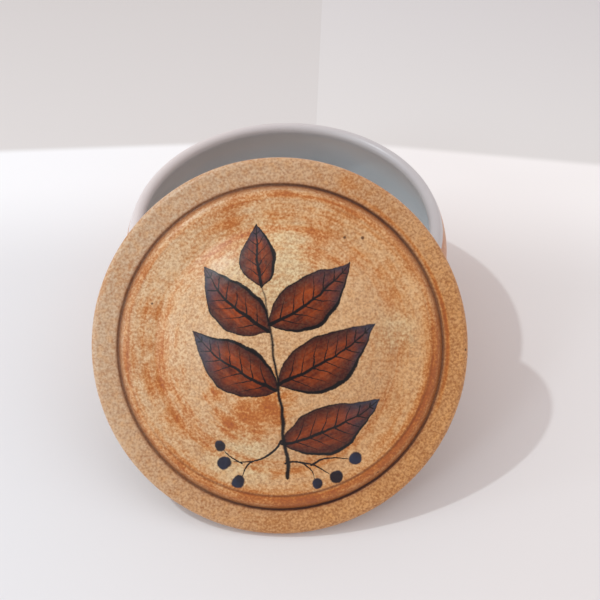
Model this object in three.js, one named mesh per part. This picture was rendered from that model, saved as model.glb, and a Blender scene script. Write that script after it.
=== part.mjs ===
// A hand-thrown stoneware bowl and its knobless lid. The lid is off: it stands on its edge on the table
// and leans back on the front of the bowl's lip, its glazed top facing forwards.
//
// Millimetres, +Z up, the table at Z = 0. X runs across the bowl, and the lid leans on its -Y side.
// The origin is the middle of the footprint of both pieces together, on the table.
//
// Both pieces come off the wheel, so each is one profile turned about its own axis. A profile is a list
// of stretches, each a straight line, an arc or a Bezier curve with the number of steps it is cut into.

import * as THREE from 'three';

// Bowl
const bowlHeight = 82.4;        // table to the top of the lip
const rimRadius = 85;           // outside of the lip
const wall = 6.6;               // thickness of the upper wall; the lip is a full round of the same width
const bellyBulge = 5;           // how far the widest part of the wall stands out past the lip
const bellyBelowLip = 23.2;     // from the top of the lip down to the widest part
const floorThickness = 8;
const floorFlatRadius = 26;     // the flat middle of the inside, where the wall's curve begins

// Turned foot ring
const footRadius = 56;
const footWidth = 6;            // width of the ring
const footRecess = 4.5;         // depth of the hollow inside the ring
const footStep = 7;             // height at which the ring meets the wall
const footBevel = 0.9;          // worn edge of the ring

// Lid
const lidOverhang = 10;         // how far the lid's rim reaches past the bowl's lip
const rimPlate = 6.5;           // thickness of the flat rim; its edge is a full round
const rimWidth = 12.4;          // from the lid's edge in to the groove
const grooveWidth = 2;
const grooveDepth = 0.9;
const shoulderWidth = 7;        // from the groove in to the ledge
const shoulderRise = 3.6;       // from the flat rim up to the ledge
const ledgeWidth = 11.6;        // the nearly flat ring between the shoulder and the dome
const ledgeRise = 0.5;          // how far the ledge climbs on its way in
const ledgeWall = 5.2;          // thickness under the inner edge of the ledge
const domeRise = 14.6;          // from the ledge up to the middle of the lid
const domeWall = 6;             // thickness in the middle of the dome
const ceilingFlatRadius = 22;   // the flat middle of the dome's underside

// Flange under the lid, which drops inside the bowl's lip and keeps the lid in place
const flangeClearance = 1;      // between the flange and the inside of the lip
const flangeWidth = 4;
const flangeDepth = 4;          // below the seat
const flangeFillet = 7;         // run of the curve from the flange into the underside of the ledge

// The lean
const leanDegrees = 42.87;      // the lid's plane, up from the table
const touch = 0.3;              // gap left between the lid's underside and the lip it leans on

// How full the Bezier curves are: how far each pull reaches, as a share of the curve's run or climb
const outsideFullness = { out: 0.62, up: 0.17, underBelly: 0.5 };
const insideFullness = { out: 0.6, underBelly: 0.56 };
const shoulderFullness = { in: 0.1, up: 0.62, alongLedge: 0.5 };
const domeFullness = { foot: 0.066, crown: 0.73 };
const ceilingFullness = { crown: 0.37, foot: 0.13 };
const filletFullness = { out: 0.7, up: 0.6 };

// Facets around each piece, and steps along a gentle stretch and a tight one
const turns = 60;
const gentle = 4;
const tight = 8;

// Derived sizes
const lean = THREE.MathUtils.degToRad(leanDegrees);
const lipRound = wall / 2;
const lipRadius = rimRadius - lipRound;         // middle of the lip's round
const lipLevel = bowlHeight - lipRound;
const bellyRadius = rimRadius + bellyBulge;
const bellyLevel = bowlHeight - bellyBelowLip;
const floorTop = footRecess + floorThickness;
const lidRadius = rimRadius + lidOverhang;
const edgeRound = rimPlate / 2;
const ledgeLevel = rimPlate + shoulderRise + ledgeRise;
const domeTop = ledgeLevel + domeRise;
const lidCeiling = domeTop - domeWall;          // underside of the dome, above the seat

const glazedClay = (color) => new THREE.MeshStandardMaterial({ color, roughness: 0.3, metalness: 0 });

// Points of a profile are a distance out from the axis and a height.
const point = (radius, height) => new THREE.Vector2(radius, height);
const line = (from, to) => [new THREE.LineCurve(from, to), 1];
const bend = (from, pull1, pull2, to, steps) => [new THREE.CubicBezierCurve(from, pull1, pull2, to), steps];

// An arc about a centre, between two angles measured up from straight out.
function arc(centre, radius, fromAngle, toAngle, steps) {
  const clockwise = toAngle < fromAngle;
  return [new THREE.EllipseCurve(centre.x, centre.y, radius, radius, fromAngle, toAngle, clockwise), steps];
}

// The stretches run from the middle of the underside, round the outside, to the middle of the top.
function turned(name, stretches, material) {
  const outline = [];
  for (const [curve, steps] of stretches) {
    for (const next of curve.getPoints(steps)) {
      const last = outline[outline.length - 1];
      if (!last || last.distanceTo(next) > 1e-6) outline.push(next);
    }
  }
  const geometry = new THREE.LatheGeometry(outline, turns);
  geometry.rotateX(Math.PI / 2);                // a lathe geometry turns about Y
  const mesh = new THREE.Mesh(geometry, material);
  mesh.name = name;
  return mesh;
}

// The upper wall is an arc through the belly that runs smoothly into the round lip.
function bowl() {
  const reach = bellyRadius - lipRadius;
  const rise = lipLevel - bellyLevel;
  const wallSweep = (reach ** 2 + rise ** 2 - lipRound ** 2) / (2 * bellyBulge);
  const wallCentre = point(bellyRadius - wallSweep, bellyLevel);
  const lipAngle = Math.atan2(rise, wallSweep - reach);

  const footInside = footRadius - footWidth;
  const footTop = point(footRadius, footStep);
  const belly = point(bellyRadius, bellyLevel);
  const outsideRun = bellyRadius - footRadius;
  const outsideClimb = bellyLevel - footStep;
  const outOfFoot = point(
    footRadius + outsideFullness.out * outsideRun,
    footStep + outsideFullness.up * outsideClimb);
  const underBelly = point(bellyRadius, bellyLevel - outsideFullness.underBelly * outsideClimb);

  const insideBelly = point(bellyRadius - wall, bellyLevel);
  const floorEdge = point(floorFlatRadius, floorTop);
  const insideClimb = bellyLevel - floorTop;
  const underInsideBelly = point(insideBelly.x, bellyLevel - insideFullness.underBelly * insideClimb);
  const outOfFloor = point(floorFlatRadius + insideFullness.out * (insideBelly.x - floorFlatRadius), floorTop);

  return turned('bowl', [
    line(point(0, footRecess), point(footInside, footRecess)),
    line(point(footInside, footRecess), point(footInside, footBevel)),
    line(point(footInside, footBevel), point(footInside + footBevel, 0)),
    line(point(footInside + footBevel, 0), point(footRadius - footBevel, 0)),
    line(point(footRadius - footBevel, 0), point(footRadius, footBevel)),
    line(point(footRadius, footBevel), footTop),
    bend(footTop, outOfFoot, underBelly, belly, tight),
    arc(wallCentre, wallSweep, 0, lipAngle, gentle),
    arc(point(lipRadius, lipLevel), lipRound, lipAngle, lipAngle + Math.PI, tight),
    arc(wallCentre, wallSweep - wall, lipAngle, 0, gentle),
    bend(insideBelly, underInsideBelly, outOfFloor, floorEdge, tight),
    line(floorEdge, point(0, floorTop)),
  ], glazedClay('#b9a58a'));
}

// The lid in its own frame: its seat, the underside of the flat rim, lies at height 0 about its axis.
function lid() {
  const flangeOutside = rimRadius - wall - flangeClearance;
  const flangeInside = flangeOutside - flangeWidth;
  const flangeRound = flangeWidth / 2;
  const flangeMiddle = point(flangeOutside - flangeRound, flangeRound - flangeDepth);

  const grooveOutside = lidRadius - rimWidth;
  const grooveMiddle = grooveOutside - grooveWidth / 2;
  const grooveInside = grooveOutside - grooveWidth;
  const ledgeOutside = grooveInside - shoulderWidth;
  const ledgeInside = ledgeOutside - ledgeWidth;

  const underLedge = ledgeLevel - ledgeWall;
  const ceilingEdge = point(ceilingFlatRadius, lidCeiling);
  const ceilingFoot = point(ledgeInside, underLedge);
  const ceilingRun = ledgeInside - ceilingFlatRadius;
  const ceilingDrop = lidCeiling - underLedge;
  const alongCeiling = point(ceilingFlatRadius + ceilingFullness.crown * ceilingRun, lidCeiling);
  const ontoLedge = point(
    ledgeInside - ceilingFullness.foot * ceilingRun,
    underLedge + ceilingFullness.foot * ceilingDrop);
  const filletStart = point(flangeInside - flangeFillet, underLedge);
  const alongFillet = point(filletStart.x + filletFullness.out * flangeFillet, underLedge);
  const upFlange = point(flangeInside, filletFullness.up * underLedge);

  const ledgeSlope = ledgeRise / ledgeWidth;
  const ledgeEdge = point(ledgeOutside, rimPlate + shoulderRise);
  const alongLedge = shoulderFullness.alongLedge * shoulderWidth;
  const offLedge = point(ledgeOutside + alongLedge, ledgeEdge.y - alongLedge * ledgeSlope);
  const shoulderFoot = point(grooveInside, rimPlate);
  const offGroove = point(
    grooveInside - shoulderFullness.in * shoulderWidth,
    rimPlate + shoulderFullness.up * shoulderRise);
  const domeFoot = point(ledgeInside, ledgeLevel);
  const domePull = domeFullness.foot * ledgeInside;
  const outOfLedge = point(ledgeInside - domePull, ledgeLevel + domePull * ledgeSlope);
  const offCrown = point(domeFullness.crown * ledgeInside, domeTop);

  return turned('lid', [
    line(point(0, lidCeiling), ceilingEdge),
    bend(ceilingEdge, alongCeiling, ontoLedge, ceilingFoot, tight),
    line(ceilingFoot, filletStart),
    bend(filletStart, alongFillet, upFlange, point(flangeInside, flangeMiddle.y), gentle),
    arc(flangeMiddle, flangeRound, -Math.PI, 0, tight),
    line(point(flangeOutside, flangeMiddle.y), point(flangeOutside, 0)),
    line(point(flangeOutside, 0), point(lidRadius - edgeRound, 0)),
    arc(point(lidRadius - edgeRound, edgeRound), edgeRound, -Math.PI / 2, Math.PI / 2, tight),
    line(point(lidRadius - edgeRound, rimPlate), point(grooveOutside, rimPlate)),
    line(point(grooveOutside, rimPlate), point(grooveMiddle, rimPlate - grooveDepth)),
    line(point(grooveMiddle, rimPlate - grooveDepth), shoulderFoot),
    bend(shoulderFoot, offGroove, offLedge, ledgeEdge, gentle),
    line(ledgeEdge, domeFoot),
    bend(domeFoot, outOfLedge, offCrown, point(0, domeTop), tight),
  ], glazedClay('#c39a68'));
}

// Tips the lid up and sets it down: its round edge on the table, its underside a touch away from the lip.
function leaning(piece) {
  const level = edgeRound + (lidRadius - edgeRound) * Math.sin(lean) - edgeRound * Math.cos(lean);
  const lipUnderCeiling = lidCeiling - touch - lipRound;
  const lipAlongAxis = lipRadius * Math.sin(lean) + lipLevel * Math.cos(lean);
  const across = (lipUnderCeiling - lipAlongAxis + level * Math.cos(lean)) / Math.sin(lean);
  piece.rotation.x = lean;
  piece.position.set(0, across, level);
  return piece;
}

const object = new THREE.Group();
object.name = 'lidded_bowl';
object.add(bowl(), leaning(lid()));

// The middle of both pieces' footprint becomes the origin.
const extent = new THREE.Box3().setFromObject(object, true);
object.position.y = -(extent.min.y + extent.max.y) / 2;
object.updateMatrixWorld(true);

export default object;
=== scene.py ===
import math
import bpy
import numpy as np
from mathutils import Euler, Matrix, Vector


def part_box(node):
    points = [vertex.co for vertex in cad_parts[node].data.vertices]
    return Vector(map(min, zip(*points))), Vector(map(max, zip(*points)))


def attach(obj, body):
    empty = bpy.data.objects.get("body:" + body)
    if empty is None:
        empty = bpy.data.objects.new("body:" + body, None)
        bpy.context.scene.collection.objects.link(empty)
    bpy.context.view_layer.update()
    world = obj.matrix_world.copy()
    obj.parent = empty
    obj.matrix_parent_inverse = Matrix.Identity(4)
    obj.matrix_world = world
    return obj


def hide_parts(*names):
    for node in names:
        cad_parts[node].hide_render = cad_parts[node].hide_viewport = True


# A hand-thrown stoneware bowl whose knobless lid leans on its front lip, built as the potter makes it:
# the bowl first, then the lid, then the table and the lights. Metres; sizes below are written in mm.
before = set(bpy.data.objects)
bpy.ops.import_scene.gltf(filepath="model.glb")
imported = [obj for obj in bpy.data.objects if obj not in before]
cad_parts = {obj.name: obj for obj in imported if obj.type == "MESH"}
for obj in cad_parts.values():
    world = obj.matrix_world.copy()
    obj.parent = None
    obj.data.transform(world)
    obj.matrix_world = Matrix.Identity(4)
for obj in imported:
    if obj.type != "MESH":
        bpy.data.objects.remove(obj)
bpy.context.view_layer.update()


# The bowl is thrown in iron-speckled stoneware, with a full round lip and a wall that bulges under it.
# The foot ring is turned when the clay is leather hard. Outside it has an ash glaze that breaks from
# cream to rust; the inside and the lip are dipped in a pale grey glaze, and the foot is wiped bare.
MM = 0.001

bowl_low, bowl_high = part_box("bowl")
axis_y = (bowl_low.y + bowl_high.y) / 2 / MM
bowl_height = (bowl_high.z - bowl_low.z) / MM
belly_radius = (bowl_high.x - bowl_low.x) / 2 / MM

wall = 6.6
belly_bulge = 5.0               # how far the belly stands out past the lip
belly_below_lip = 23.2
floor_top = 12.5
floor_flat_radius = 26.0
foot_radius = 56.0
foot_inside = 50.0
foot_recess = 4.5
foot_step = 7.0
foot_softness = 1.0             # radius of the ring's worn edges
foot_hollow_softness = 2.0      # where the recess turns into the ring
around = 256                    # columns of the grid round each piece
angle = np.linspace(0, 2 * np.pi, around, endpoint=False)

# How full the wall's two curves are: how far each pull reaches, as a share of the curve's run or climb
outside_out, outside_up, outside_under_belly = 0.62, 0.17, 0.5
inside_out, inside_under_belly = 0.6, 0.56


def arc(centre, radius, start, end, count):
    """Points on a circle, from start to end in degrees: the centre plus radius times (cos, sin)."""
    turn = np.radians(np.linspace(start, end, count))
    return np.stack([centre[0] + radius * np.cos(turn), centre[1] + radius * np.sin(turn)], -1)


def bend(p0, p1, p2, p3, count):
    """A cubic Bezier: the mean of the four points with weights (1-t)^3, 3t(1-t)^2, 3t^2(1-t) and t^3."""
    t = np.linspace(0, 1, count)[:, None]
    p0, p1, p2, p3 = (np.asarray(p, float) for p in (p0, p1, p2, p3))
    return p0 * (1 - t) ** 3 + 3 * p1 * t * (1 - t) ** 2 + 3 * p2 * t ** 2 * (1 - t) + p3 * t ** 3


def even_steps(stretches, count):
    """Joins stretches of a profile and spaces points evenly. Gives points, outward normals and distances.

    The distance along the joined line is the running sum of its steps, and both coordinates are read off
    against it at equal distances. The normal is the tangent turned a quarter turn clockwise."""
    line = np.vstack([np.atleast_2d(np.asarray(s, float)) for s in stretches])
    step = np.hypot(*np.diff(line, axis=0).T)
    line = line[np.r_[True, step > 1e-9]]
    along = np.r_[0, np.cumsum(np.hypot(*np.diff(line, axis=0).T))]
    at = np.linspace(0, along[-1], count)
    points = np.stack([np.interp(at, along, line[:, 0]), np.interp(at, along, line[:, 1])], -1)
    tangent = np.gradient(points, axis=0)
    tangent /= np.hypot(*tangent.T)[:, None]
    return points, np.stack([tangent[:, 1], -tangent[:, 0]], -1), at


def spun(points, normals, sink):
    """A profile turned about Z. A point at radius r and angle a is (r cos a, r sin a, z).

    sink is a grid of depths, one for each profile point and angle, by which the surface lies under it."""
    radius = points[:, 0, None] - sink * normals[:, 0, None]
    height = points[:, 1, None] - sink * normals[:, 1, None]
    radius[[0, -1]] = 0
    height[[0, -1]] = height[[0, -1]].mean(1, keepdims=True)
    return np.stack([radius * np.cos(angle), radius * np.sin(angle), height], -1)


def closed_mesh(name, grid, fields):
    """Makes a closed mesh of a spun grid. Its first and last rows lie on the axis: each is one vertex.

    Every four neighbours between them make a face. fields are numbers kept at each vertex, by name."""
    def each_vertex(values):
        between = values[1:-1].reshape(-1, *values.shape[2:])
        return np.concatenate([values[:1, 0], between, values[-1:, 0]])

    rows, columns = grid.shape[:2]
    here = np.arange(columns)
    after = (here + 1) % columns
    row = 1 + columns * np.arange(rows - 3)[:, None]
    quads = np.stack([row + here, row + after, row + columns + after, row + columns + here], -1)
    last_row = 1 + columns * (rows - 3)
    apex = last_row + columns
    bottom = np.stack([np.zeros_like(here), 1 + after, 1 + here], -1)
    top = np.stack([last_row + here, last_row + after, np.full_like(here, apex)], -1)
    faces = bottom.tolist() + quads.reshape(-1, 4).tolist() + top.tolist()
    mesh = bpy.data.meshes.new(name)
    mesh.from_pydata((each_vertex(grid) * MM).tolist(), [], faces)
    mesh.shade_smooth()
    for field, values in fields.items():
        layer = mesh.attributes.new(field, "FLOAT", "POINT")
        layer.data.foreach_set("value", each_vertex(values).astype(np.float32))
    piece = bpy.data.objects.new(name, mesh)
    bpy.context.scene.collection.objects.link(piece)
    return piece


lip_round = wall / 2
lip_radius = belly_radius - belly_bulge - lip_round
lip_level = bowl_height - lip_round
belly_level = bowl_height - belly_below_lip
reach, rise = belly_radius - lip_radius, lip_level - belly_level
sweep = (reach ** 2 + rise ** 2 - lip_round ** 2) / (2 * belly_bulge)
wall_centre = (belly_radius - sweep, belly_level)
lip_angle = math.degrees(math.atan2(rise, sweep - reach))
out_run, out_climb = belly_radius - foot_radius, belly_level - foot_step
in_run, in_climb = belly_radius - wall - floor_flat_radius, belly_level - floor_top

bowl_profile, bowl_normals, bowl_along = even_steps([
    (0, foot_recess),
    arc((foot_inside - foot_hollow_softness, foot_recess - foot_hollow_softness),
        foot_hollow_softness, 90, 0, 9),
    arc((foot_inside + foot_softness, foot_softness), foot_softness, 180, 270, 9),
    arc((foot_radius - foot_softness, foot_softness), foot_softness, -90, 0, 9),
    bend((foot_radius, foot_step),
         (foot_radius + outside_out * out_run, foot_step + outside_up * out_climb),
         (belly_radius, belly_level - outside_under_belly * out_climb), (belly_radius, belly_level), 90),
    arc(wall_centre, sweep, 0, lip_angle, 40),
    arc((lip_radius, lip_level), lip_round, lip_angle, lip_angle + 180, 60),
    arc(wall_centre, sweep - wall, lip_angle, 0, 40),
    bend((belly_radius - wall, belly_level),
         (belly_radius - wall, belly_level - inside_under_belly * in_climb),
         (floor_flat_radius + inside_out * in_run, floor_top), (floor_flat_radius, floor_top), 90),
    (0, floor_top),
], 300)

# The potter's fingers leave low rings, which fade out towards the lip and the foot, and the wall isn't
# quite round. Distances run along the wall from the crest of the lip.
throwing_pitch = 4.6            # height that the fingers climb in one turn
throwing_depth = 0.14
rings_outside = (6.0, 16.0)     # where the rings start and where they are full
rings_inside = (8.0, 22.0)
rings_over_foot = (4.0, 10.0)
uneven_length = 13.0            # the rings come and go along the wall, by the radian
squash_depth = 0.24             # how far the wall is out of round
squash_heights = (20.0, 60.0)   # and the heights between which that grows


def fade(values, start, full):
    """0 before start, 1 past full, and a straight line between them."""
    return np.clip((values - start) / (full - start), 0, 1)


crest = bowl_along[np.argmax(bowl_profile[:, 1])]
from_lip = crest - bowl_along                        # above 0 outside, below 0 inside
level = bowl_profile[:, 1]
turned_wall = fade(from_lip, *rings_outside) * fade(level - foot_step, *rings_over_foot)
thrown_inside = fade(-from_lip, *rings_inside)
rings = 0.5 + 0.5 * np.sin(2 * np.pi * bowl_along[:, None] / throwing_pitch + angle)
unevenness = 0.5 + 0.5 * np.sin(bowl_along[:, None] / uneven_length + 2 * angle + 1.5 * np.sin(angle))
bowl_sink = throwing_depth * (turned_wall + thrown_inside)[:, None] * rings * unevenness
squash = 0.5 + 0.5 * np.cos(2 * angle + 0.7)
out_of_round = squash_depth * squash * fade(level[:, None], *squash_heights)
bowl_grid = spun(bowl_profile, bowl_normals, bowl_sink)
bowl_grid[..., :2] *= (1 - out_of_round / belly_radius)[..., None]
bowl_grid[..., 1] += axis_y
bowl = closed_mesh("thrown_bowl", bowl_grid, {
    "from_lip": np.repeat(from_lip[:, None], around, 1),
})


def linear(hex_colour):
    """An sRGB colour in hex, as the linear red, green, blue and alpha that a shader socket holds."""
    srgb = [int(hex_colour[k:k + 2], 16) / 255 for k in (1, 3, 5)]
    return [c / 12.92 if c <= 0.04045 else ((c + 0.055) / 1.055) ** 2.4 for c in srgb] + [1.0]


def add(tree, kind, inputs=None, **settings):
    """Adds a node with its settings, then fills its inputs, each by name or number.

    An input may be a number, a colour, another node, whose first shown output is taken, or an output."""
    node = tree.nodes.new("ShaderNode" + kind)
    for setting, value in settings.items():
        setattr(node, setting, value)
    for key, value in (inputs or {}).items():
        socket = node.inputs[key] if isinstance(key, int) else next(
            s for s in node.inputs if s.name == key and s.enabled)
        if isinstance(value, bpy.types.Node):
            value = next(s for s in value.outputs if s.enabled)
        if isinstance(value, bpy.types.NodeSocket):
            tree.links.new(value, socket)
        elif isinstance(value, str):
            socket.default_value = linear(value)
        else:
            socket.default_value = value
    return node


def new_material(name):
    """An empty material and its node tree."""
    material = bpy.data.materials.new(name)
    material.use_nodes = True
    material.node_tree.nodes.clear()
    return material, material.node_tree


glaze_ior = 1.52                # a lime-alkali stoneware glaze is close to window glass
speck_size = 1.25               # mm across the brown specks that float in the milky glaze
mottle_size = 6.0
cloud_size = 26.0
blush_size = 4.0
iron_spacing = 9.0              # mm between the iron spots that bleed right through
bare_edge = 1.2                 # width over which the glaze thins out above the foot


def speckled_ash(tree, place, body, thin, speckle, seed):
    """The ash glaze over iron-bearing clay: milky, with brown specks, and rust where it is thin.

    The body colour has orange blushes, the crests of a noise of their own. Rust is thin plus a share of
    two wider noises and of the grain, read off as an amount: 0.2 shows a trace and 1 covers all. Specks,
    the crests of the grain, lie over both, thicker where the wider noises are high and weaker on rust,
    and speckle is how strong they are. Gives the colour and the grain."""
    shifted = add(tree, "VectorMath", {0: place, 1: (seed, 2.3 * seed, 1.7 * seed)}, operation="ADD")
    grain = add(tree, "TexNoise", {
        "Vector": shifted, "Scale": 1 / speck_size, "Detail": 2.0, "Roughness": 0.6})
    mottle = add(tree, "TexNoise", {
        "Vector": shifted, "Scale": 1 / mottle_size, "Detail": 4.0, "Roughness": 0.65, "Distortion": 0.6})
    clouds = add(tree, "TexNoise", {"Vector": shifted, "Scale": 1 / cloud_size, "Detail": 2.0})
    rolling = add(tree, "Math", {0: mottle, 1: 0.75, 2: -0.375}, operation="MULTIPLY_ADD")
    drifting = add(tree, "Math", {0: clouds, 1: 1.1, 2: rolling}, operation="MULTIPLY_ADD")
    sifted = add(tree, "Math", {0: grain, 1: 1.3, 2: drifting}, operation="MULTIPLY_ADD")
    thinness = add(tree, "Math", {0: thin, 1: sifted}, operation="ADD")
    rust = add(tree, "MapRange", {"Value": thinness, "From Min": 1.2, "From Max": 2.2},
               interpolation_type="SMOOTHSTEP")
    blush = add(tree, "TexNoise", {
        "Vector": shifted, "Scale": 1 / blush_size, "Detail": 3.0, "Roughness": 0.6})
    blush_shown = add(tree, "MapRange", {
        "Value": blush, "From Min": 0.42, "From Max": 0.72, "To Max": 0.42})
    blushed = add(tree, "Mix", {"Factor": blush_shown, "A": body, "B": "#d3944f"}, data_type="RGBA")
    crowding = add(tree, "Math", {0: drifting, 1: 0.2, 2: grain}, operation="MULTIPLY_ADD")
    speck = add(tree, "MapRange", {"Value": crowding, "From Min": 0.48, "From Max": 0.82})
    speck_room = add(tree, "Math", {0: rust, 1: -0.4, 2: 1.0}, operation="MULTIPLY_ADD")
    speck_strength = add(tree, "Math", {0: speck, 1: speck_room}, operation="MULTIPLY")
    speck_shown = add(tree, "Math", {0: speck_strength, 1: speckle}, operation="MULTIPLY")
    rust_depth = add(tree, "MapRange", {"Value": thinness, "From Min": 1.4, "From Max": 2.5})
    rust_colour = add(tree, "Mix", {
        "Factor": rust_depth, "A": "#d98f3e", "B": "#ac5b2c"}, data_type="RGBA")
    rusted = add(tree, "Mix", {"Factor": rust, "A": blushed, "B": rust_colour}, data_type="RGBA")
    specked = add(tree, "Mix", {"Factor": speck_shown, "A": rusted, "B": "#90552c"}, data_type="RGBA")
    cells = add(tree, "TexVoronoi", {"Vector": shifted, "Scale": 1 / iron_spacing})
    spot_reach = add(tree, "Math", {
        0: cells.outputs["Color"], 1: 0.3, 2: -0.16}, operation="MULTIPLY_ADD")
    spot_room = add(tree, "Math", {0: spot_reach, 1: cells.outputs["Distance"]}, operation="SUBTRACT")
    spot = add(tree, "MapRange", {
        "Value": spot_room, "From Min": -0.01, "From Max": 0.03, "To Max": 0.85})
    return add(tree, "Mix", {"Factor": spot, "A": specked, "B": "#4f2f1c"}, data_type="RGBA"), grain


clay_grain_size = 0.7143        # mm across the grain of the bare clay
bare_roughness = 0.85


def bare_clay(tree, place):
    """Toasted buff stoneware with a fine grain. Gives the colour and the grain."""
    grain = add(tree, "TexNoise", {"Vector": place, "Scale": 1 / clay_grain_size, "Detail": 4.0})
    return add(tree, "Mix", {"Factor": grain, "A": "#a8754c", "B": "#c79b70"}, data_type="RGBA"), grain


# Glaze over stoneware clay, fired glossy and pebbly under the fingers. The pale glaze ends at an uneven
# line under the lip, lower on the left. It has a lilac cast on the lip, paler on the left and darker on
# the right, where the darker tone is painted shade that tones down the glint there. Inside it is pinker
# below the lip and towards the left, and bluer further in, where it pools. The bare clay at the foot is
# dull.
drift_size = 8.33               # mm across the waves of the line where the two glazes meet
run_size = 33.3                 # mm across the runs of the pale glaze
pebble_size = 2.0
dip_slope = 0.014               # how much lower that line lies for each mm to the left
dip_wave = 2.6                  # how far it waves
dip_start, dip_end = 6.8, 7.8   # mm along the wall from the crest of the lip, before the waves
bowl_roughness = 0.32
bowl_glaze, tree = new_material("ash and pale grey glaze on stoneware")
millimetres = add(tree, "VectorMath", {
    0: add(tree, "TexCoord").outputs["Object"], 1: (1000, 1000, 1000)}, operation="MULTIPLY")
outside, _ = speckled_ash(tree, millimetres, "#cf9e6b", 0.6, 0.8, 11.0)
to_lip = add(tree, "Attribute", attribute_name="from_lip").outputs["Fac"]
drift = add(tree, "TexNoise", {"Vector": millimetres, "Scale": 1 / drift_size, "Detail": 3.0})
place = add(tree, "SeparateXYZ", {"Vector": millimetres})
across, height = place.outputs["X"], place.outputs["Z"]
dip_level = add(tree, "Math", {0: across, 1: dip_slope, 2: to_lip}, operation="MULTIPLY_ADD")
dipped_to = add(tree, "Math", {0: drift, 1: -dip_wave, 2: dip_level}, operation="MULTIPLY_ADD")
past_dip = add(tree, "MapRange", {"Value": dipped_to, "From Min": dip_start, "From Max": dip_end})
cloudy = add(tree, "TexNoise", {"Vector": millimetres, "Scale": 1 / run_size, "Detail": 3.0})
aslant = add(tree, "Math", {0: across, 1: -0.09, 2: to_lip}, operation="MULTIPLY_ADD")
run_down = add(tree, "Math", {0: cloudy, 1: 14.0, 2: aslant}, operation="MULTIPLY_ADD")
pinker_inside = add(tree, "MapRange", {"Value": run_down, "From Min": -23.0, "From Max": -6.0})
# Pinker below the lip and towards the left, bluer further down
inside = add(tree, "Mix", {"Factor": pinker_inside, "A": "#c1c6c9", "B": "#d2c8c2"}, data_type="RGBA")
near_lip = add(tree, "MapRange", {"Value": to_lip, "From Min": -9.0, "From Max": -2.5})
# The lip is paler on the left and darker on the right: its lilac glaze, with painted shade on the right
# that tones down the glint there
lip_side_shade = add(tree, "MapRange", {"Value": across, "From Min": -60.0, "From Max": 50.0})
lip_tone_and_shade = add(tree, "Mix", {"Factor": lip_side_shade, "A": "#d6cecd", "B": "#c1bec0"}, data_type="RGBA")
lilac = add(tree, "Mix", {"Factor": near_lip, "A": inside, "B": lip_tone_and_shade}, data_type="RGBA")
glazes = add(tree, "Mix", {"Factor": past_dip, "A": lilac, "B": outside}, data_type="RGBA")
wiped_to = add(tree, "Math", {0: drift, 1: 3.0, 2: height}, operation="MULTIPLY_ADD")
low = add(tree, "MapRange", {"Value": wiped_to, "From Min": foot_step + bare_edge, "From Max": foot_step})
is_outside = add(tree, "Math", {0: to_lip, 1: 0.0}, operation="GREATER_THAN")
bare = add(tree, "Math", {0: low, 1: is_outside}, operation="MULTIPLY")
clay, clay_grain = bare_clay(tree, millimetres)
skin = add(tree, "Mix", {"Factor": bare, "A": glazes, "B": clay}, data_type="RGBA")
dull = add(tree, "MapRange", {"Value": bare, "To Min": bowl_roughness, "To Max": bare_roughness})
pebble = add(tree, "TexNoise", {"Vector": millimetres, "Scale": 1 / pebble_size, "Detail": 2.0})
relief = add(tree, "Math", {0: bare, 1: clay_grain, 2: pebble}, operation="MULTIPLY_ADD")
bumpy = add(tree, "Bump", {"Height": relief, "Strength": 0.25, "Distance": 0.12 * MM})
shader = add(tree, "BsdfPrincipled", {
    "Base Color": skin, "Roughness": dull, "Normal": bumpy, "IOR": glaze_ior})
add(tree, "OutputMaterial", {"Surface": shader})
bowl.data.materials.append(bowl_glaze)
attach(bowl, "bowl")
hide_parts("bowl")


# The lid is thrown upside down as a dish, then turned: a flat rim, a thin cut groove, a sloping shoulder,
# a narrow ledge and a dome with no knob. A flange under it drops inside the bowl's lip. Its top has the
# same ash glaze, iron wiped into the groove fires to a dark line, and the seat and flange stay bare.
lid_low, lid_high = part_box("lid")
lid_radius = (lid_high.x - lid_low.x) / 2 / MM
lean = 42.87                    # degrees that the lid's plane rises from the table
rim_plate = 6.5
rim_width = 12.4
groove_width = 2.0
groove_depth = 0.9
shoulder_width = 7.0
shoulder_rise = 3.6
ledge_width = 11.6
ledge_rise = 0.5
ledge_wall = 5.2
dome_rise = 14.6
dome_wall = 6.0
ceiling_flat_radius = 22.0
flange_outside = 77.4
flange_width = 4.0
flange_depth = 4.0
flange_fillet = 7.0
seat_corner = 0.8

# How full its curves are, as with the bowl's
ceiling_crown, ceiling_foot = 0.37, 0.13
fillet_start, fillet_up = 0.3, 0.6
shoulder_in, shoulder_up, shoulder_along = 0.1, 0.62, 0.5
dome_start, dome_crown = 0.1, 0.73

edge_round = rim_plate / 2
edge_centre = lid_radius - edge_round
groove_middle = lid_radius - rim_width - groove_width / 2
shoulder_foot = groove_middle - groove_width / 2
ledge_outside = shoulder_foot - shoulder_width
ledge_inside = ledge_outside - ledge_width
ledge_edge = rim_plate + shoulder_rise
ledge_level = ledge_edge + ledge_rise
ledge_slope = ledge_rise / ledge_width
dome_top = ledge_level + dome_rise
lid_ceiling = dome_top - dome_wall
under_ledge = ledge_level - ledge_wall
ceiling_run, ceiling_drop = ledge_inside - ceiling_flat_radius, lid_ceiling - under_ledge
flange_inside = flange_outside - flange_width
flange_round = flange_width / 2
flange_turn = flange_round - flange_depth


def groove(count):
    """The groove's section, from the flat rim to the shoulder's foot: a sine hump to the power 1.5."""
    t = np.linspace(0, 1, count)
    radius = groove_middle + groove_width * (0.5 - t)
    return np.stack([radius, rim_plate - groove_depth * np.sin(np.pi * t) ** 1.5], -1)


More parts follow.
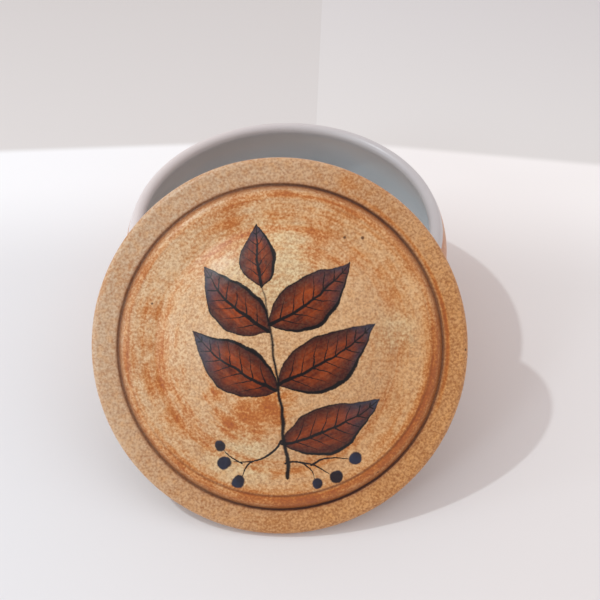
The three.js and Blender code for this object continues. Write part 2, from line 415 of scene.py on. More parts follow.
under_profile, under_normals, under_along = even_steps([
    (0, lid_ceiling),
    bend((ceiling_flat_radius, lid_ceiling),
         (ceiling_flat_radius + ceiling_crown * ceiling_run, lid_ceiling),
         (ledge_inside - ceiling_foot * ceiling_run, under_ledge + ceiling_foot * ceiling_drop),
         (ledge_inside, under_ledge), 60),
    bend((flange_inside - flange_fillet, under_ledge),
         (flange_inside - fillet_start * flange_fillet, under_ledge),
         (flange_inside, fillet_up * under_ledge), (flange_inside, flange_turn), 30),
    arc((flange_outside - flange_round, flange_turn), flange_round, -180, 0, 24),
    arc((flange_outside + seat_corner, -seat_corner), seat_corner, 180, 90, 8),
    arc((edge_centre, edge_round), edge_round, -90, 0, 18),
], 130)
top_profile, top_normals, top_along = even_steps([
    arc((edge_centre, edge_round), edge_round, 0, 90, 18),
    groove(24),
    bend((shoulder_foot, rim_plate),
         (shoulder_foot - shoulder_in * shoulder_width, rim_plate + shoulder_up * shoulder_rise),
         (ledge_outside + shoulder_along * shoulder_width,
          ledge_edge - shoulder_along * shoulder_width * ledge_slope),
         (ledge_outside, ledge_edge), 30),
    bend((ledge_inside, ledge_level),
         ((1 - dome_start) * ledge_inside, ledge_level + dome_start * ledge_inside * ledge_slope),
         (dome_crown * ledge_inside, dome_top), (0, dome_top), 120),
], 240)
lid_profile = np.vstack([under_profile, top_profile[1:]])
lid_normals = np.vstack([under_normals, top_normals[1:]])

# Finger rings on the top, and a fine crease that the turning tool left round the ledge, not quite round.
# The groove and what lies inside it are a little off the rim's centre, towards the lower right.
lid_throwing_pitch = 6.3
lid_throwing_depth = 0.08
finger_start = 4.0              # mm from the edge's turn at which the rings are full
finger_calm = 12.0              # radius under which they fade towards the middle
crease_radius = 74.9
crease_oval = (1.0, 0.4)        # how far it swings in and out, twice in a turn
crease_depth = 0.2
crease_width = 0.5
crease_deepest = math.radians(-75)
off_centre = 0.9
off_centre_way = math.radians(-42)
off_centre_full = 40.0          # radius out to which the shift grows
off_centre_margin = (4.0, 10.0)     # distances in from the edge between which it ends

on_top = np.r_[np.zeros_like(under_along), fade(top_along[1:], 0, finger_start)]
edge_run = edge_round * math.pi / 2
glazed = np.r_[fade(under_along - under_along[-1] + edge_run, 0, bare_edge), np.ones_like(top_along[1:])]
distance_out = lid_profile[:, :1]
crease = crease_radius + crease_oval[0] * np.cos(2 * angle) + crease_oval[1] * np.sin(2 * angle)
to_crease = distance_out - crease
crease_pressed = np.clip(0.5 + 0.6 * np.cos(angle - crease_deepest), 0, 1)
finger_turn = 2 * np.pi * distance_out / lid_throwing_pitch + angle + 0.6 * np.sin(2 * angle)
finger_rings = 0.5 + 0.5 * np.sin(finger_turn)
lid_sink = on_top[:, None] * (
    lid_throwing_depth * fade(distance_out, 0, finger_calm) * finger_rings
    + crease_depth * crease_pressed * np.exp(-(to_crease / crease_width) ** 2))
lid_local = spun(lid_profile, lid_normals, lid_sink)
from_edge = lid_radius - lid_profile[:, 0]
carried = on_top * fade(lid_profile[:, 0], 0, off_centre_full) * fade(from_edge, *off_centre_margin)
lid_local[..., 0] += off_centre * math.cos(off_centre_way) * carried[:, None]
lid_local[..., 1] += off_centre * math.sin(off_centre_way) * carried[:, None]

tilt = math.radians(lean)
lid_up = lid_low.z / MM + edge_round + edge_centre * math.sin(tilt) - edge_round * math.cos(tilt)
lid_across = lid_low.y / MM + edge_round + edge_centre * math.cos(tilt) + edge_round * math.sin(tilt)
lid_grid = np.stack([
    lid_local[..., 0],
    lid_across + lid_local[..., 1] * math.cos(tilt) - lid_local[..., 2] * math.sin(tilt),
    lid_up + lid_local[..., 1] * math.sin(tilt) + lid_local[..., 2] * math.cos(tilt)], -1)
lid = closed_mesh("thrown_lid", lid_grid, {
    "glazed": np.repeat(glazed[:, None], around, 1),
    "wheel_radius": np.repeat(distance_out, around, 1),
    "to_crease": to_crease,
})


# The brushwork on the dome: a sprig of broad leaves in iron wash, with stem, ribs and edges drawn over it
# in cobalt and iron black. It is painted on the raw glaze, so it sinks in and softens in the kiln.
leaf_group = bpy.data.node_groups.new("brushed_leaf", "ShaderNodeTree")
for way, kind, socket_names in (
        ("INPUT", "NodeSocketVector", ("Vector",)),
        ("INPUT", "NodeSocketFloat", ("Width", "Bow", "Ink", "Veins")),
        ("OUTPUT", "NodeSocketFloat", ("Wash", "Line", "Shade", "Tip", "Bristles"))):
    for socket_name in socket_names:
        leaf_group.interface.new_socket(socket_name, in_out=way, socket_type=kind)


def draw_leaf(tree):
    """Fills the group for one leaf, in its own frame: x runs 0 to 1 from stalk to tip and y lies across.

    The rib is y = 4 Bow x (1 - x). The half width is Width sin(pi x^0.8). Inside is half width less
    the distance from the rib. Edge, rib and vein lines are bands about where each of these is zero.
    Bristles are a noise drawn out along the rib, as the brush leaves it."""
    given = tree.nodes.new("NodeGroupInput").outputs
    ink_edge = {"From Min": -0.002, "From Max": 0.006}
    split = add(tree, "SeparateXYZ", {"Vector": given["Vector"]})
    x, y = split.outputs["X"], split.outputs["Y"]
    t = add(tree, "Clamp", {"Value": x})
    rest = add(tree, "Math", {0: 1.0, 1: t}, operation="SUBTRACT")
    hump = add(tree, "Math", {0: t, 1: rest}, operation="MULTIPLY")
    four_bow = add(tree, "Math", {0: given["Bow"], 1: -4.0}, operation="MULTIPLY")
    off_rib = add(tree, "Math", {0: four_bow, 1: hump, 2: y}, operation="MULTIPLY_ADD")
    away = add(tree, "Math", {0: off_rib}, operation="ABSOLUTE")
    early = add(tree, "Math", {0: t, 1: 0.8}, operation="POWER")
    half_turn = add(tree, "Math", {0: early, 1: math.pi}, operation="MULTIPLY")
    swell = add(tree, "Math", {0: half_turn}, operation="SINE")
    half = add(tree, "Math", {0: swell, 1: given["Width"]}, operation="MULTIPLY")
    past = add(tree, "Math", {0: x, 1: t}, operation="SUBTRACT")
    beyond = add(tree, "Math", {0: past}, operation="ABSOLUTE")
    room = add(tree, "Math", {0: half, 1: away}, operation="SUBTRACT")
    inside = add(tree, "Math", {0: room, 1: beyond}, operation="SUBTRACT")
    wash = add(tree, "MapRange", {"Value": inside, "From Min": -0.012, "From Max": 0.0})

    under = add(tree, "Math", {0: off_rib, 1: 0.0}, operation="LESS_THAN")
    side = add(tree, "Math", {0: under, 1: 0.65, 2: 0.35}, operation="MULTIPLY_ADD")
    body = add(tree, "Math", {0: swell, 1: 0.8, 2: 0.2}, operation="MULTIPLY_ADD")
    edge_weight = add(tree, "Math", {0: side, 1: body}, operation="MULTIPLY")
    edge_ink = add(tree, "Math", {0: edge_weight, 1: given["Ink"]}, operation="MULTIPLY")
    edge_gap = add(tree, "Math", {0: inside}, operation="ABSOLUTE")
    edge_room = add(tree, "Math", {0: edge_ink, 1: edge_gap}, operation="SUBTRACT")
    leaf_wide = add(tree, "Math", {0: given["Width"], 1: 0.02}, operation="GREATER_THAN")
    edge_line = add(tree, "MapRange", {"Value": edge_room, **ink_edge})
    edge = add(tree, "Math", {0: edge_line, 1: leaf_wide}, operation="MULTIPLY")

    taper = add(tree, "Math", {0: rest, 1: 0.6}, operation="POWER")
    rib_weight = add(tree, "Math", {0: taper, 1: 0.85, 2: 0.15}, operation="MULTIPLY_ADD")
    rib_ink = add(tree, "Math", {0: rib_weight, 1: given["Ink"]}, operation="MULTIPLY")
    rib_gap = add(tree, "Math", {0: away, 1: beyond}, operation="ADD")
    rib_room = add(tree, "Math", {0: rib_ink, 1: rib_gap}, operation="SUBTRACT")
    rib = add(tree, "MapRange", {"Value": rib_room, **ink_edge})

    slant = add(tree, "Math", {0: away, 1: -0.9, 2: t}, operation="MULTIPLY_ADD")
    count = add(tree, "Math", {0: slant, 1: given["Veins"]}, operation="MULTIPLY")
    saw = add(tree, "Math", {0: count, 1: 0.5}, operation="PINGPONG")
    vein_ink = add(tree, "MapRange", {
        "Value": away, "From Max": given["Width"], "To Min": 0.085, "To Max": 0.0})
    vein_room = add(tree, "Math", {0: vein_ink, 1: saw}, operation="SUBTRACT")
    vein_line = add(tree, "MapRange", {"Value": vein_room, "From Min": -0.01, "From Max": 0.03})
    middle = add(tree, "MapRange", {"Value": inside, "From Min": 0.012, "From Max": 0.03})
    vein = add(tree, "Math", {0: vein_line, 1: middle}, operation="MULTIPLY")
    drawn = add(tree, "Math", {0: edge, 1: rib}, operation="MAXIMUM")
    line = add(tree, "Math", {0: drawn, 1: vein}, operation="MAXIMUM")
    rim_reach = add(tree, "Math", {0: given["Width"], 1: 0.55}, operation="MULTIPLY")
    shade = add(tree, "MapRange", {"Value": inside, "From Min": rim_reach, "From Max": 0.0})
    tip = add(tree, "MapRange", {"Value": t, "From Min": 0.55, "From Max": 0.95})
    stretched = add(tree, "CombineXYZ", {"X": t, "Y": off_rib, "Z": given["Bow"]})
    bristle_place = add(tree, "VectorMath", {0: stretched, 1: (2.5, 26.0, 40.0)}, operation="MULTIPLY")
    bristle = add(tree, "TexNoise", {
        "Vector": bristle_place, "Scale": 1.0, "Detail": 3.0, "Roughness": 0.6})
    bristles = add(tree, "MapRange", {"Value": bristle, "From Min": 0.36, "From Max": 0.66})
    result = tree.nodes.new("NodeGroupOutput")
    for socket_name, node in (
            ("Wash", wash), ("Line", line), ("Shade", shade), ("Tip", tip), ("Bristles", bristles)):
        tree.links.new(node.outputs[0], result.inputs[socket_name])


draw_leaf(leaf_group)

# Each stroke: where it starts on the dome, its direction in degrees, its length, its width as a share of
# the length, its bow, the weight of its line, and how many veins. Across and up the dome, in mm.
leaves = (
    ((4, -47), 26, 52, 0.23, -0.06, 0.020, 8),
    ((1, -20), 148, 50, 0.24, 0.06, 0.021, 8),
    ((1, -17), 33, 55, 0.23, -0.05, 0.019, 9),
    ((-4, 8), 138, 45, 0.25, 0.07, 0.023, 7),
    ((-4, 11), 40, 50, 0.24, -0.06, 0.021, 8),
    ((-8, 30), 98, 31, 0.27, 0.04, 0.030, 6),
)
stems = (
    ((7, -66), 99, 100, 0.008, -0.02, 0.0137, 0),
    ((4, -45), 206, 30, 0.008, 0.16, 0.026, 0),
    ((-10, -57), 237, 12, 0.008, -0.1, 0.045, 0),
    ((-16, -59), 142, 12, 0.008, 0.1, 0.045, 0),
    ((5, -58), -13, 24, 0.008, 0.14, 0.033, 0),
    ((18.5, -58.2), 11, 19, 0.008, 0.1, 0.035, 0),
    ((14.5, -57.2), -54, 9.5, 0.008, 0.1, 0.055, 0),
)
berries = (
    (-25, -59, 3.4), (-27, -50, 3.0), (-18, -68, 2.9), (31, -64, 3.2), (40, -54, 3.0), (21.5, -67, 2.7))


# The lid's glaze: thin, so rusty, round the foot of the dome, on the shoulder, and in chance patches. The
# rings on the shoulder and ledge are heavier below, partly rust and partly painted shade where these
# slopes face away from the light. The turning drew the rust out in streaks round the lid. It is greyer
# and paler at the upper left, partly the glaze's own tone and partly a painted sheen on the side the
# light comes from, and more orange at the lower right. It pools pale in places on the dome. The line in
# the groove is iron.
streak_width = 3.2              # mm from one streak to the next
streak_turns = 1.7              # how often the streaks break off round the lid
wander_size = 14.29             # mm across the swings that make the patches ragged
wander = 17.0                   # and how far they swing
wobble_size = 4.0               # mm across the wobbles of the iron line
wobble = 0.6
lid_pebble_size = 2.222
glazed_under = 68.0             # radius out to which the hollow of the underside is glazed pale
lid_roughness = 0.36
half_matt = 0.32                # how much it mirrors, less than a clear glaze

# Rusty rings: middle radius and reach on either side in mm, and strength
# The ledge's ring is heavier below, partly as painted shade where the ledge faces away from the light
ledge_rust_and_shade = (75.5, 7.5, 0.92)
crease_rust = (76.4, 2.5, 1.0)
groove_rust = (84.0, 2.0, 1.1)
dome_rust = (58.5, 9.5, 0.58)
edge_rust = (95.0, 3.5, 0.2)
lid_glaze, tree = new_material("painted ash glaze on stoneware")
in_mm = add(tree, "VectorMath", {
    0: add(tree, "TexCoord").outputs["Object"], 1: (1000, 1000, 1000)}, operation="MULTIPLY")
on_lid = add(tree, "Mapping", {
    "Vector": in_mm, "Location": (0, lid_across, lid_up), "Rotation": (tilt, 0, 0)},
    vector_type="TEXTURE")
flat = add(tree, "VectorMath", {0: on_lid, 1: (1, 1, 0)}, operation="MULTIPLY")
radius = add(tree, "Attribute", attribute_name="wheel_radius").outputs["Fac"]
past_crease = add(tree, "Attribute", attribute_name="to_crease").outputs["Fac"]
way_round = add(tree, "VectorMath", {0: flat}, operation="NORMALIZE")
below, at_foot, upper_right, to_the_right = (
    add(tree, "VectorMath", {0: way_round, 1: (x, y, 0)}, operation="DOT_PRODUCT").outputs["Value"]
    for x, y in ((0.5, -0.866), (0.34, -0.94), (0.4, 0.92), (0.94, 0.34)))
spread = add(tree, "VectorMath", {0: way_round, 1: (streak_turns, streak_turns, 0)}, operation="MULTIPLY")
ring_number = add(tree, "Math", {0: radius, 1: streak_width}, operation="DIVIDE")
outward = add(tree, "CombineXYZ", {"Z": ring_number})
wheel_place = add(tree, "VectorMath", {0: spread, 1: outward}, operation="ADD")
streaks = add(tree, "TexNoise", {"Vector": wheel_place, "Scale": 1.0, "Detail": 4.0, "Roughness": 0.6})
uneven = add(tree, "TexNoise", {
    "Vector": flat, "Scale": 1 / wander_size, "Detail": 4.0, "Roughness": 0.65})
centred = add(tree, "VectorMath", {0: uneven.outputs["Color"], 1: (0.5, 0.5, 0.5)}, operation="SUBTRACT")
wandering = add(tree, "VectorMath", {
    0: centred, 1: (wander, wander, 0), 2: flat}, operation="MULTIPLY_ADD")
wandering_radius = add(tree, "VectorMath", {0: wandering}, operation="LENGTH").outputs["Value"]


def ring(tree, distance, middle, reach, strength):
    """A soft ring: strength at the middle radius, falling to nothing at reach on either side."""
    off = add(tree, "Math", {0: distance, 1: middle}, operation="SUBTRACT")
    gap = add(tree, "Math", {0: off}, operation="ABSOLUTE")
    return add(tree, "MapRange", {"Value": gap, "From Min": reach, "From Max": 0.0, "To Max": strength},
               interpolation_type="SMOOTHSTEP")


# Heavier below: partly rust, partly painted shade on the shoulder and ledge where they face away from the
# light
rust_and_shade_below = add(tree, "MapRange", {
    "Value": below, "From Min": -0.6, "From Max": 0.9, "To Min": 0.5, "To Max": 0.87})
on_shoulder = add(tree, "MapRange", {
    "Value": past_crease, "From Min": -0.5, "From Max": 0.5, "To Max": 1.1})
toward_groove = add(tree, "MapRange", {
    "Value": radius, "From Min": crease_radius + 1, "From Max": shoulder_foot,
    "To Min": 1.0, "To Max": 0.62})
off_rim = add(tree, "MapRange", {
    "Value": radius, "From Min": groove_middle + 0.5, "From Max": groove_middle - 1.0})
on_slope = add(tree, "Math", {0: on_shoulder, 1: toward_groove}, operation="MULTIPLY")
shoulder = add(tree, "Math", {0: on_slope, 1: off_rim}, operation="MULTIPLY")
near_ledge = ring(tree, radius, *ledge_rust_and_shade)
both_bands = add(tree, "Math", {0: shoulder, 1: near_ledge}, operation="MAXIMUM")
inner_bands = add(tree, "Math", {0: both_bands, 1: rust_and_shade_below}, operation="MULTIPLY")
top_side = add(tree, "MapRange", {"Value": upper_right, "From Min": 0.1, "From Max": 1.0, "To Max": 0.85})
top_band = add(tree, "Math", {0: ring(tree, radius, *crease_rust), 1: top_side}, operation="MULTIPLY")
thin = add(tree, "Math", {0: inner_bands, 1: top_band}, operation="MAXIMUM")
right_side = add(tree, "MapRange", {"Value": to_the_right, "From Min": 0.6, "From Max": 1.0})
right_band = add(tree, "Math", {0: ring(tree, radius, *groove_rust), 1: right_side}, operation="MULTIPLY")
weaker_right = add(tree, "MapRange", {
    "Value": to_the_right, "From Min": 0.4, "To Min": 1.0, "To Max": 0.25})
dome_foot = ring(tree, wandering_radius, *dome_rust)
foot_band = add(tree, "Math", {0: dome_foot, 1: weaker_right}, operation="MULTIPLY")
for band in (right_band, foot_band, ring(tree, radius, *edge_rust)):
    thin = add(tree, "Math", {0: thin, 1: band}, operation="MAXIMUM")
# Chance patches: across and up the lid, reach and strength
for at_x, at_y, reach_out, strength in (
        (-8, -18, 15, 1.35), (-4, -28, 16, 1.5), (-12, -35, 16, 1.4), (-22, -39, 13, 1.1),
        (-30, -24, 7, 1.0), (-22, -12, 12, 1.0), (-58, -20, 16, 0.95), (-48, -37, 16, 0.85),
        (-60, 16, 16, 0.6), (-57, 0, 17, 0.65), (-24, 58, 18, 0.6), (-4, 61, 20, 0.8),
        (18, 57, 20, 0.95), (35, 46, 18, 0.95), (48, 38, 16, 0.72), (56, 26, 16, 0.66),
        (32, 84, 9, 0.45), (57, -46, 13, 0.6)):
    away = add(tree, "VectorMath", {0: wandering, 1: (at_x, at_y, 0)}, operation="DISTANCE")
    patch = add(tree, "MapRange", {
        "Value": away, "From Min": reach_out, "From Max": 0.0, "To Max": strength})
    thin = add(tree, "Math", {0: thin, 1: patch}, operation="MAXIMUM")
inside_groove = add(tree, "MapRange", {
    "Value": radius, "From Min": groove_middle + 1, "From Max": groove_middle - 2,
    "To Min": 0.5, "To Max": 1.6})
streak_level = add(tree, "Math", {0: streaks, 1: 0.5}, operation="SUBTRACT")
streak_rust = add(tree, "Math", {0: streak_level, 1: inside_groove}, operation="MULTIPLY")
thin = add(tree, "Math", {0: thin, 1: streak_rust}, operation="ADD")

# Greyer and paler towards the upper left: partly the glaze's own tone, partly a painted sheen on the side
# the light comes from. More orange to the lower right, and the specks show less in the sheen.
to_lower_right = add(tree, "VectorMath", {0: flat, 1: (0.0098, -0.005, 0)}, operation="DOT_PRODUCT")
sheen_to_orange = add(tree, "MapRange", {"Value": to_lower_right, "From Min": -0.85, "From Max": 0.7})
rim_body = add(tree, "Mix", {"Factor": sheen_to_orange, "A": "#d2b797", "B": "#d39e67"}, data_type="RGBA")
dome_body = add(tree, "Mix", {"Factor": sheen_to_orange, "A": "#dfc29b", "B": "#e1b583"}, data_type="RGBA")
# Pale pools, in the same way
pool = None
for at_x, at_y, reach_out, strength in (
        (-5, 40, 34, 0.85), (-20, -8, 13, 0.9), (-16, -54, 24, 0.7), (58, 8, 14, 0.6)):
    away = add(tree, "VectorMath", {0: wandering, 1: (at_x, at_y, 0)}, operation="DISTANCE")
    puddle = add(tree, "MapRange", {
        "Value": away, "From Min": reach_out, "From Max": 0.25 * reach_out, "To Max": strength},
        interpolation_type="SMOOTHSTEP")
    pool = puddle if pool is None else add(tree, "Math", {0: pool, 1: puddle}, operation="MAXIMUM")
pooled_body = add(tree, "Mix", {"Factor": pool, "A": dome_body, "B": "#e4d1a5"}, data_type="RGBA")
within = add(tree, "MapRange", {
    "Value": radius, "From Min": groove_middle + 1, "From Max": groove_middle - 1})
body = add(tree, "Mix", {"Factor": within, "A": rim_body, "B": pooled_body}, data_type="RGBA")
rim_speckle = add(tree, "MapRange", {"Value": sheen_to_orange, "To Min": 0.64, "To Max": 0.9})
speckle = add(tree, "Mix", {"Factor": within, "A": rim_speckle, "B": 0.68})
glaze, lid_grain = speckled_ash(tree, on_lid, body, thin, speckle, 3.0)
# A thin dark line painted along the turned crease: painted shade in the crease, heaviest below, where it
# faces away from the light
crease_shade_line = ring(tree, past_crease, 0.2, 1.1, 1.0)
crease_shade_load = add(tree, "MapRange", {"Value": at_foot, "From Min": 0.2, "To Min": 0.12, "To Max": 0.75})
crease_shade_strength = add(tree, "Math", {0: crease_shade_line, 1: crease_shade_load}, operation="MULTIPLY")
crease_shaded = add(tree, "Mix", {"Factor": crease_shade_strength, "A": glaze, "B": "#63321f"}, data_type="RGBA")
iron_wobble = add(tree, "TexNoise", {"Vector": on_lid, "Scale": 1 / wobble_size, "Detail": 3.0})
line_at = add(tree, "Math", {0: iron_wobble, 1: wobble, 2: radius}, operation="MULTIPLY_ADD")
halo = ring(tree, line_at, groove_middle - 0.4, 3.4, 0.68)
hazed = add(tree, "Mix", {"Factor": halo, "A": crease_shaded, "B": "#8e5233"}, data_type="RGBA")
iron_line = ring(tree, line_at, groove_middle + 0.3, 1.2, 1.0)
low_load = add(tree, "MapRange", {"Value": at_foot, "From Min": 0.6, "To Min": 0.5, "To Max": 1.1})
high_load = add(tree, "MapRange", {"Value": upper_right, "From Min": 0.75, "To Max": 0.38})
brush_load = add(tree, "Math", {0: low_load, 1: high_load}, operation="ADD")
inked_line = add(tree, "Math", {0: iron_line, 1: brush_load}, operation="MULTIPLY", use_clamp=True)
lined = add(tree, "Mix", {"Factor": inked_line, "A": hazed, "B": "#3e221e"}, data_type="RGBA")

# The strokes are laid over the glaze. The hand sways slowly and trembles finely, so no line is true.
hand_size, hand_sway = 11.11, 3.2           # mm across the sways, and how far they go
tremble_size, tremble_sway = 1.111, 0.7
load_size = 9.09                # mm across the darker and lighter parts of the wash
cobalt_size = 14.29             # mm across the places where the cobalt shows
brushed = flat
for noise_size, detail, swing in ((hand_size, 1.0, hand_sway), (tremble_size, 2.0, tremble_sway)):
    noise = add(tree, "TexNoise", {"Vector": flat, "Scale": 1 / noise_size, "Detail": detail})
    brushed = add(tree, "VectorMath", {
        0: noise.outputs["Color"], 1: (swing, swing, 0), 2: brushed}, operation="MULTIPLY_ADD")
sway = 0.5 * (hand_sway + tremble_sway)     # how far both move the strokes on average
line_of = None
for has_wash, strokes in ((True, leaves), (False, stems)):
    for (at_x, at_y), heading, length, width, bow, ink, veins in strokes:
        placed = add(tree, "Mapping", {
            "Vector": brushed, "Location": (at_x + sway, at_y + sway, 0),
            "Rotation": (0, 0, math.radians(heading)), "Scale": (length, length, 1)},
            vector_type="TEXTURE")
        stroke = add(tree, "Group", {
            "Vector": placed, "Width": width, "Bow": bow, "Ink": ink, "Veins": veins},
            node_tree=leaf_group)
        wash, line, shade, tip, bristles = stroke.outputs[:5]
        if line_of is None:
            wash_of, line_of, shade_of, tip_of, bristles_of = wash, line, shade, tip, bristles
            continue
        line_of = add(tree, "Math", {0: line_of, 1: line}, operation="MAXIMUM")
        if has_wash:
            shade_of = add(tree, "Mix", {"Factor": wash, "A": shade_of, "B": shade})
            tip_of = add(tree, "Mix", {"Factor": wash, "A": tip_of, "B": tip})
            bristles_of = add(tree, "Mix", {"Factor": wash, "A": bristles_of, "B": bristles})
            wash_of = add(tree, "Math", {0: wash_of, 1: wash}, operation="MAXIMUM")
berry_of = None
for at_x, at_y, berry in berries:
    away = add(tree, "VectorMath", {0: brushed, 1: (at_x + sway, at_y + sway, 0)}, operation="DISTANCE")
    dab = add(tree, "MapRange", {"Value": away, "From Min": berry + 0.3, "From Max": berry - 0.3})
    berry_of = dab if berry_of is None else add(tree, "Math", {0: berry_of, 1: dab}, operation="MAXIMUM")

load = add(tree, "TexNoise", {
    "Vector": flat, "Scale": 1 / load_size, "Detail": 5.0, "Roughness": 0.65})
loaded = add(tree, "MapRange", {"Value": load, "From Min": 0.36, "From Max": 0.62})
brushy = add(tree, "Mix", {"Factor": 0.5, "A": loaded, "B": bristles_of})
wash_colour = add(tree, "Mix", {"Factor": brushy, "A": "#420a06", "B": "#a0420e"}, data_type="RGBA")
edged = add(tree, "Mix", {"Factor": shade_of, "A": wash_colour, "B": "#2c0c12"}, data_type="RGBA")
cobalt = add(tree, "TexNoise", {"Vector": flat, "Scale": 1 / cobalt_size, "Detail": 3.0})
cobalt_shows = add(tree, "MapRange", {
    "Value": cobalt, "From Min": 0.42, "From Max": 0.6, "To Min": 0.1, "To Max": 0.8})
slate_strength = add(tree, "Math", {0: tip_of, 1: cobalt_shows}, operation="MULTIPLY")
slated = add(tree, "Mix", {"Factor": slate_strength, "A": edged, "B": "#2b3f55"}, data_type="RGBA")
flecked = add(tree, "MapRange", {
    "Value": lid_grain, "From Min": 0.35, "From Max": 0.65, "To Min": 0.95})
wash_strength = add(tree, "Math", {0: wash_of, 1: flecked}, operation="MULTIPLY")
washed = add(tree, "Mix", {"Factor": wash_strength, "A": lined, "B": slated}, data_type="RGBA")
ink_strength = add(tree, "Math", {0: line_of, 1: 0.985}, operation="MULTIPLY")
inked = add(tree, "Mix", {"Factor": ink_strength, "A": washed, "B": "#0b080c"}, data_type="RGBA")
berry_strength = add(tree, "Math", {0: berry_of, 1: 0.98}, operation="MULTIPLY")
berry_colour = add(tree, "Mix", {
    "Factor": cobalt_shows, "A": "#140e18", "B": "#26344e"}, data_type="RGBA")
painted = add(tree, "Mix", {"Factor": berry_strength, "A": inked, "B": berry_colour}, data_type="RGBA")

top_mask = add(tree, "Attribute", attribute_name="glazed").outputs["Fac"]
clay, _ = bare_clay(tree, on_lid)
under_glaze = add(tree, "MapRange", {
    "Value": radius, "From Min": glazed_under + 1, "From Max": glazed_under})
underside = add(tree, "Mix", {"Factor": under_glaze, "A": clay, "B": "#d0ccc9"}, data_type="RGBA")
skin = add(tree, "Mix", {"Factor": top_mask, "A": underside, "B": painted}, data_type="RGBA")
covered = add(tree, "Math", {0: top_mask, 1: under_glaze}, operation="MAXIMUM")
dull = add(tree, "MapRange", {"Value": covered, "To Min": bare_roughness, "To Max": lid_roughness})
pebble = add(tree, "TexNoise", {"Vector": on_lid, "Scale": 1 / lid_pebble_size, "Detail": 3.0})
bumpy = add(tree, "Bump", {"Height": pebble, "Strength": 0.3, "Distance": 0.15 * MM})
shader = add(tree, "BsdfPrincipled", {
    "Base Color": skin, "Roughness": dull, "Normal": bumpy, "IOR": glaze_ior,
    "Specular IOR Level": half_matt})
add(tree, "OutputMaterial", {"Surface": shader})
lid.data.materials.append(lid_glaze)
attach(lid, "lid")
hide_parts("lid")


# The table is a sheet of matt white board. Behind the bowl it gives off a little light of its own, a
# painted brightness for the light that the wall throws back, and it is a touch cooler on the left and
# pinker on the right, painted for the colour of the light from either side. The wall that it turns up
# into is only a greyer tone on the flat board, painted shade that is darker on the left wall and further
# up. It isn't part of the object.
table_half = 3.0
wall_foot = 0.201               # how far back the wall begins behind the middle
wall_slant = 0.1                # how much nearer it comes to either side
wall_middle = 0.012             # how far to the right its corner lies
fold = 0.004                    # half the width over which the board turns into the wall
wall_depth = 0.25               # how far up the wall the tone goes on falling off
table_mesh = bpy.data.meshes.new("table")
table_mesh.from_pydata([(-table_half, -table_half, 0), (table_half, -table_half, 0),
                        (table_half, table_half, 0), (-table_half, table_half, 0)], [], [(0, 1, 2, 3)])
table = bpy.data.objects.new("table", table_mesh)
bpy.context.scene.collection.objects.link(table)
board, tree = new_material("matt white board")
on_board = add(tree, "SeparateXYZ", {"Vector": add(tree, "TexCoord").outputs["Object"]}).outputs
off_middle = add(tree, "Math", {0: on_board["X"], 1: wall_middle}, operation="SUBTRACT")
to_side = add(tree, "Math", {0: off_middle}, operation="ABSOLUTE")
depth = add(tree, "Math", {0: to_side, 1: wall_slant, 2: on_board["Y"]}, operation="MULTIPLY_ADD")
# Cooler on the left and pinker on the right: the colour of the light from either side, painted into the
# board
light_tint_across = add(tree, "MapRange", {"Value": on_board["X"], "From Min": -0.15, "From Max": 0.12})
board_tone = add(tree, "Mix", {"Factor": light_tint_across, "A": "#e4e6e9", "B": "#e6e4e4"}, data_type="RGBA")
far = add(tree, "MapRange", {
    "Value": depth, "From Min": wall_foot - fold, "From Max": wall_foot + fold},
    interpolation_type="SMOOTHSTEP")
# The wall's grey is painted shade: darker further up, and darker on the left wall, which faces away from
# the light
shade_up_wall = add(tree, "MapRange", {
    "Value": depth, "From Min": wall_foot, "From Max": wall_foot + wall_depth})
left_wall_shade = add(tree, "Mix", {"Factor": shade_up_wall, "A": "#d9d7d6", "B": "#cecbca"}, data_type="RGBA")
right_wall_shade = add(tree, "Mix", {"Factor": shade_up_wall, "A": "#e0dfde", "B": "#d3d1d2"}, data_type="RGBA")
past_corner = add(tree, "Math", {0: on_board["X"], 1: wall_middle}, operation="GREATER_THAN")
wall_shade_tone = add(tree, "Mix", {"Factor": past_corner, "A": left_wall_shade, "B": right_wall_shade}, data_type="RGBA")
tone = add(tree, "Mix", {"Factor": far, "A": board_tone, "B": wall_shade_tone}, data_type="RGBA")
# A painted brightness where the wall throws light back onto the board, for rays that see or mirror it
painted_bounce_glow = add(tree, "MapRange", {
    "Value": depth, "From Min": 0.07, "From Max": 0.17, "To Max": 0.14}, interpolation_type="SMOOTHSTEP")
glow = add(tree, "Mix", {"Factor": far, "A": painted_bounce_glow, "B": 0.0})
rays = add(tree, "LightPath").outputs
mirrored = add(tree, "Math", {0: rays["Is Camera Ray"], 1: rays["Is Glossy Ray"]}, operation="MAXIMUM")
seen = add(tree, "Math", {0: mirrored, 1: rays["Is Transmission Ray"]}, operation="MAXIMUM")
seen_glow = add(tree, "Math", {0: glow, 1: seen}, operation="MULTIPLY")
shader = add(tree, "BsdfPrincipled", {
    "Base Color": tone, "Roughness": 0.7, "Emission Color": "#ffffff", "Emission Strength": seen_glow})
add(tree, "OutputMaterial", {"Surface": shader})
table_mesh.materials.append(board)


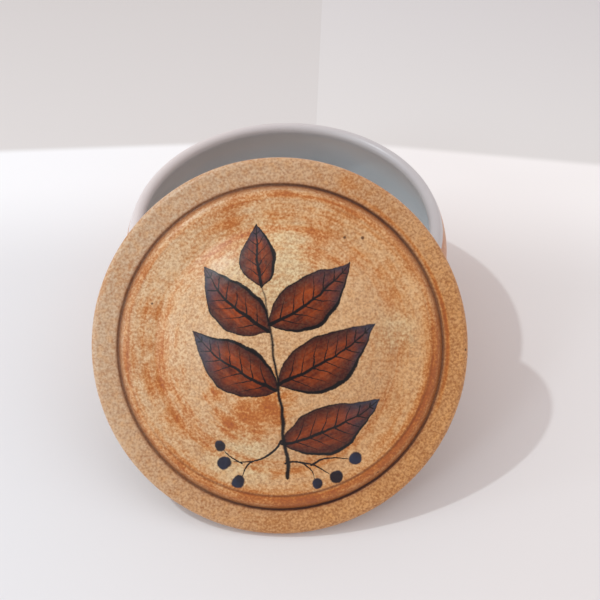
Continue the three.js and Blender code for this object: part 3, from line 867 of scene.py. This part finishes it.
# The light: a small cool lamp on the left casts the crisp shadow. A wider one at the camera's left and a
# low one further left soften it, and a pale room, a little pink, does the rest. The room is darker behind
# the camera, and that is what the lid's gloss mirrors.
world = bpy.data.worlds.new("pale room")
bpy.context.scene.world = world
world.use_nodes = True
tree = world.node_tree
background = tree.nodes["Background"]
background.inputs["Color"].default_value = linear("#fff6f5")
camera_way = (0.03, -0.7, 0.71)     # from the pots to the camera
behind_camera = add(tree, "VectorMath", {
    0: add(tree, "TexCoord").outputs["Generated"], 1: camera_way}, operation="DOT_PRODUCT")
room = add(tree, "MapRange", {
    "Value": behind_camera, "From Min": 0.7, "From Max": 0.96, "To Min": 0.9, "To Max": 0.42},
    interpolation_type="SMOOTHSTEP")
tree.links.new(room.outputs[0], background.inputs["Strength"])

aim = Vector((0, -0.03, 0.05))      # the middle of the pots


def lamp(name, azimuth, elevation, distance, size, watts, hex_colour):
    """A square area lamp aimed at the pots. In degrees, azimuth 0 is the front and 90 the right."""
    light = bpy.data.lights.new(name, "AREA")
    light.size, light.energy = size, watts
    light.color = linear(hex_colour)[:3]
    a, e = math.radians(azimuth), math.radians(elevation)
    away = Vector((math.sin(a) * math.cos(e), -math.cos(a) * math.cos(e), math.sin(e)))
    thing = bpy.data.objects.new(name, light)
    thing.location = aim + distance * away
    thing.rotation_euler = away.to_track_quat("Z", "Y").to_euler()
    bpy.context.scene.collection.objects.link(thing)


lamp("left lamp", -98.3, 56.3, 2.5, 0.06, 16.5, "#f1fcff")
lamp("camera side lamp", -45, 32, 2.5, 0.5, 6.5, "#e6f5ff")
lamp("low left lamp", -77, 14, 2.5, 0.3, 5.5, "#e6f5ff")


# The camera stands where the photograph was taken from: above the front, looking down across the lid.
camera_place = (23.0, -346.9, 431.8)
camera_down = 47.97             # degrees below the horizon
camera_turn = 2.35              # degrees to the left
camera_lens = 56.1              # mm, with a sensor 36 mm wide
camera_data = bpy.data.cameras.new("camera")
camera_data.sensor_width, camera_data.lens = 36.0, camera_lens
camera = bpy.data.objects.new("camera", camera_data)
camera.location = [c * MM for c in camera_place]
camera.rotation_euler = Euler((math.radians(90 - camera_down), 0, math.radians(camera_turn)))
bpy.context.scene.collection.objects.link(camera)
bpy.context.scene.camera = camera
bpy.context.scene.view_settings.view_transform = "Standard"
